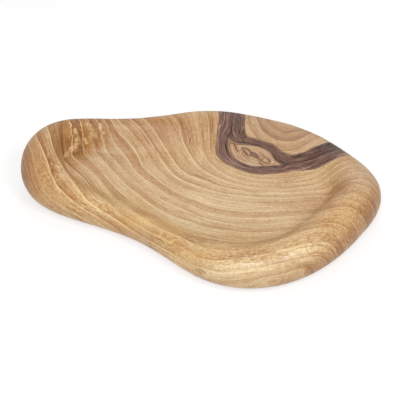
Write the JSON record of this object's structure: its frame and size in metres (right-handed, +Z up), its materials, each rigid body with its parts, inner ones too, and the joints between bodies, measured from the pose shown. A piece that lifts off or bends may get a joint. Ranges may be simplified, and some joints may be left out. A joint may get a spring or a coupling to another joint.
{
  "type": "olive dish",
  "caption": "Low free-form dish of olive wood with a pear-shaped hollow, a thick rounded rim, a flat base and a dark heartwood band with a knot at the back right.",
  "frame": {"origin": "middle of the dish's box in plan, on the plane of its flat base", "axes": "+X along the length towards the broad right end, +Y towards the back rim with the heartwood band, +Z up out of the hollow"},
  "size_m": [0.18, 0.115, 0.0275],
  "materials": {
    "pale_wood": "oiled olive wood, fine rings, soft gloss",
    "heartwood": "oiled dark heartwood with streaks along the band",
    "rear_wood": "oiled olive wood, close rings, soft gloss",
    "eye_wood": "oiled knot wood with curled grain and small cracks",
    "core_wood": "oiled dark core of a knot"
  },
  "bodies": {
    "root": {"bowl_body": "pale_wood", "heartwood_band": "heartwood", "rear_rim_wood": "rear_wood", "knot_eye": "eye_wood", "knot_core": "core_wood"}
  },
  "joints": []
}
